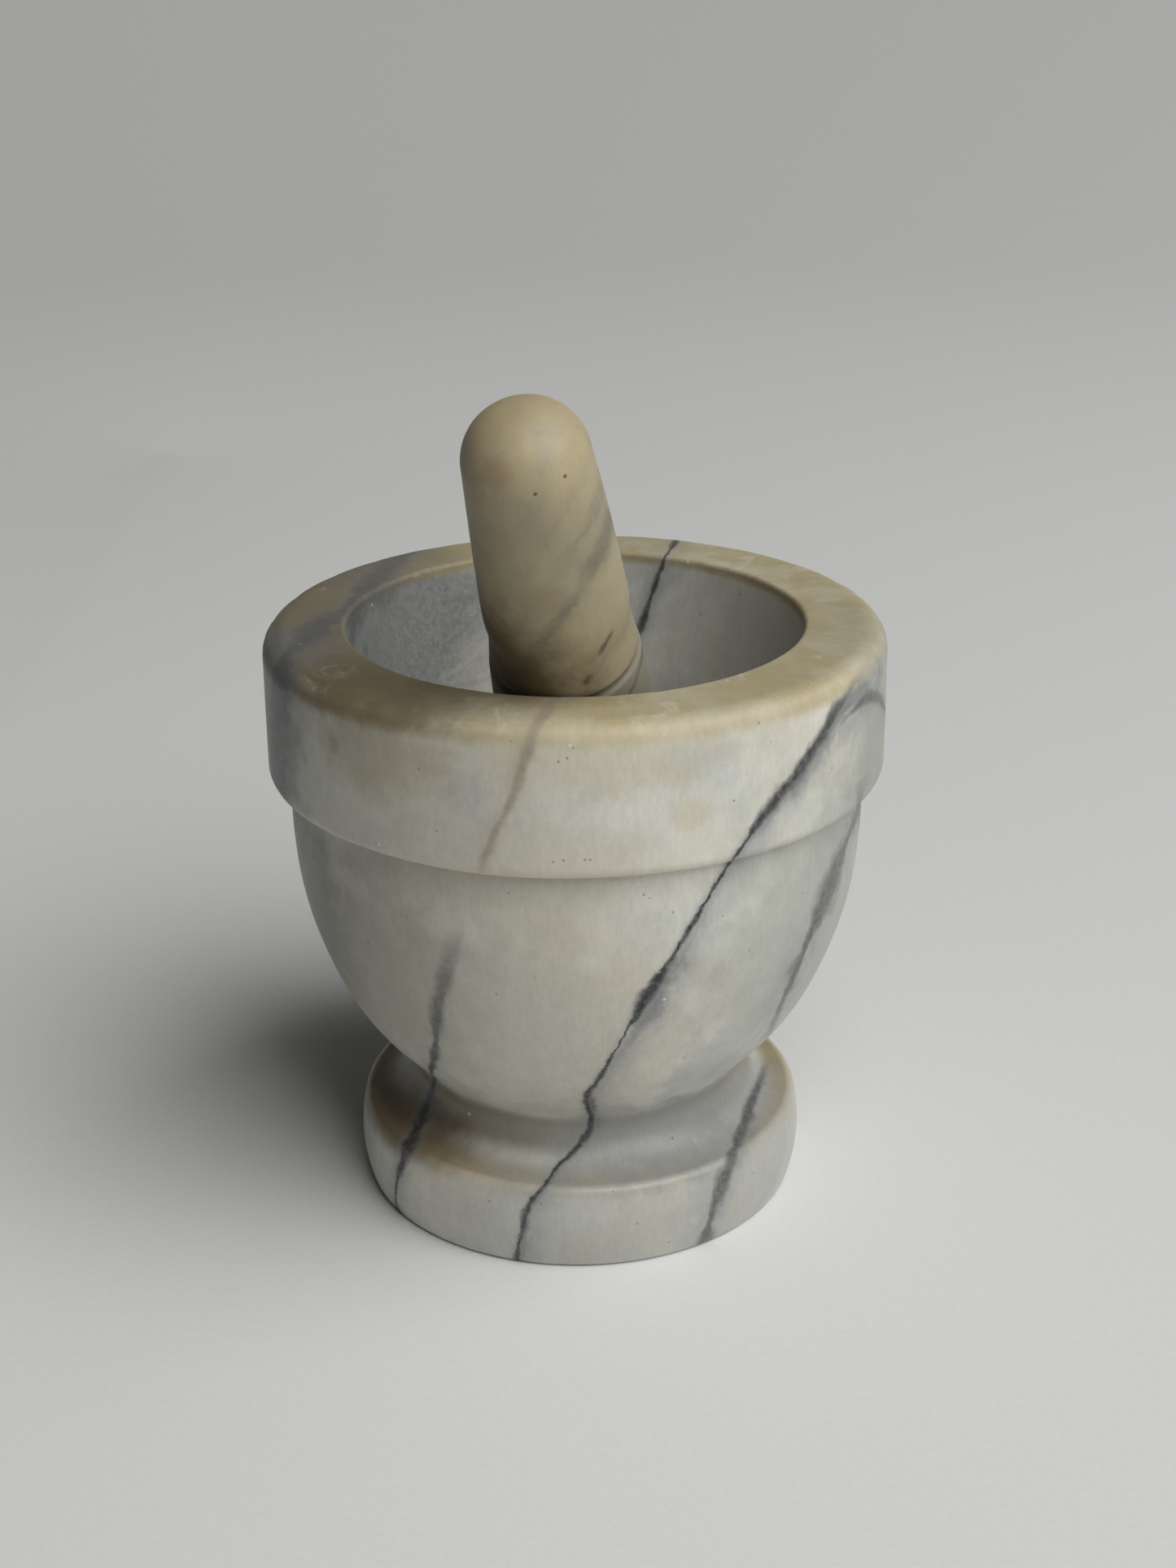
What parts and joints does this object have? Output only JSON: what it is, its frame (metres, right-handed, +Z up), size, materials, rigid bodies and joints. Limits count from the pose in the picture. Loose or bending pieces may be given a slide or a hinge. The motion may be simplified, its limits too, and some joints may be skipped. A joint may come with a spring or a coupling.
{
  "type": "mortar and pestle",
  "caption": "Turned stone mortar with a thick collar, round hollow and waisted foot, and a loose club-shaped pestle leaning in it, for crushing and grinding by hand.",
  "frame": {"origin": "centre of the flat base of the mortar, in the plane it stands on", "axes": "+Z up along the mortar's turning axis, -Y the front, which the pestle leans towards, +X to the right seen from the front"},
  "size_m": [0.1, 0.1065, 0.1452],
  "materials": {
    "mortar_marble": "honed, white with blue-grey veins, stained beige on the rim",
    "pestle_marble": "honed, warm beige with soft grey-brown veins"
  },
  "bodies": {
    "mortar": {"mortar": "mortar_marble"},
    "pestle": {"pestle": "pestle_marble"}
  },
  "joints": [
    {"name": "pestle_lift", "type": "slide", "parent": "mortar", "child": "pestle", "axis": [0, 0, 1], "range_m": [0, 0.08]}
  ]
}
